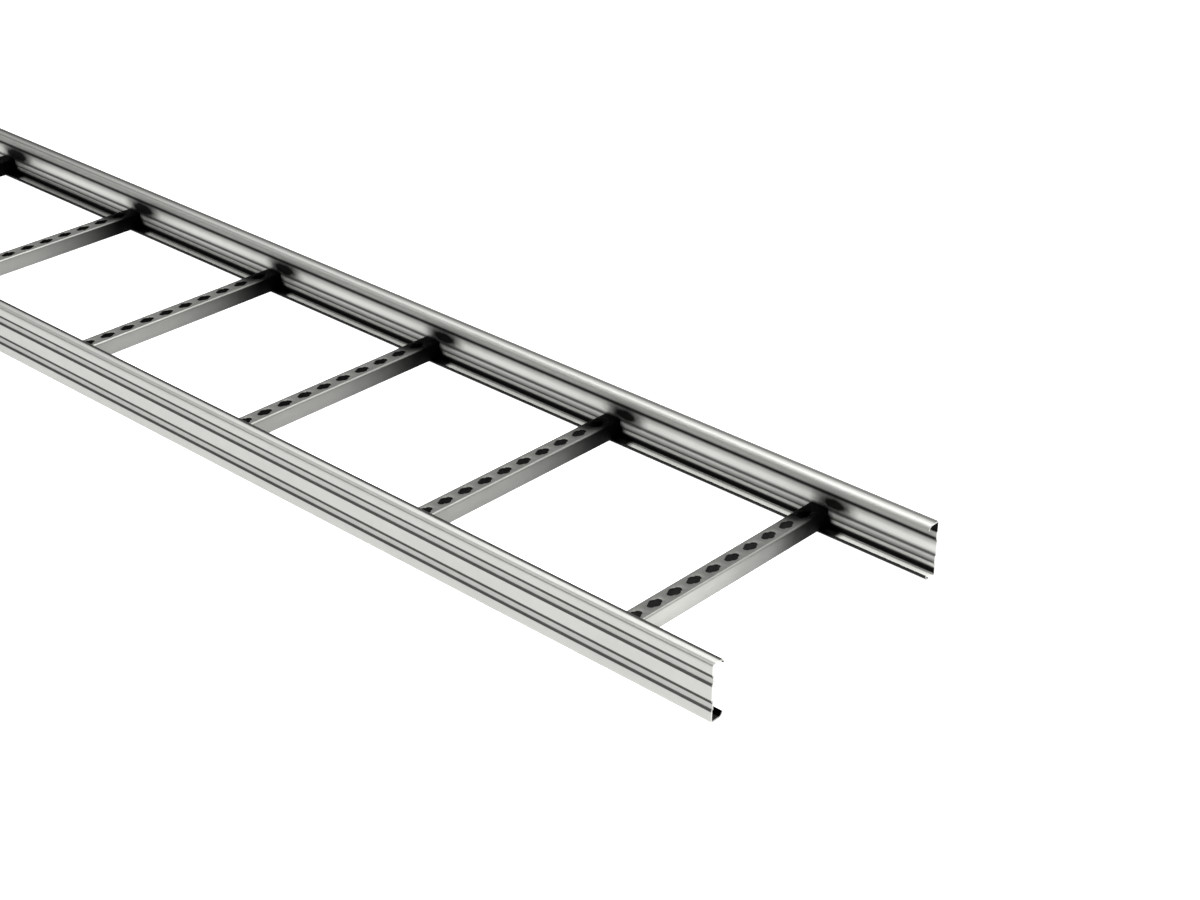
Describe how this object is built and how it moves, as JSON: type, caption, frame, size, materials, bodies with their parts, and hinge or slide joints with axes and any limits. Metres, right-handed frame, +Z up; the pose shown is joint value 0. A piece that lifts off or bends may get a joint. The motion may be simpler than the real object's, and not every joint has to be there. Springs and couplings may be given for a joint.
{
  "type": "cable ladder section",
  "caption": "Straight steel cable ladder length with two folded side rails and flat slotted channel rungs welded between them.",
  "frame": {"origin": "centre of the ladder's length and width, at the underside of the side rails", "axes": "+X along the rails, +Y across to the left rail, +Z up from the rails' underside to the open top"},
  "size_m": [3, 0.3, 0.055],
  "materials": {
    "rail_steel": "galvanised, satin",
    "rung_steel": "galvanised, satin"
  },
  "bodies": {
    "root": {"side_rail_right": "rail_steel", "side_rail_left": "rail_steel", "rung_01": "rung_steel", "rung_02": "rung_steel", "rung_03": "rung_steel", "rung_04": "rung_steel", "rung_05": "rung_steel", "rung_06": "rung_steel", "rung_07": "rung_steel", "rung_08": "rung_steel", "rung_09": "rung_steel", "rung_10": "rung_steel", "rung_11": "rung_steel", "rung_12": "rung_steel"}
  },
  "joints": []
}
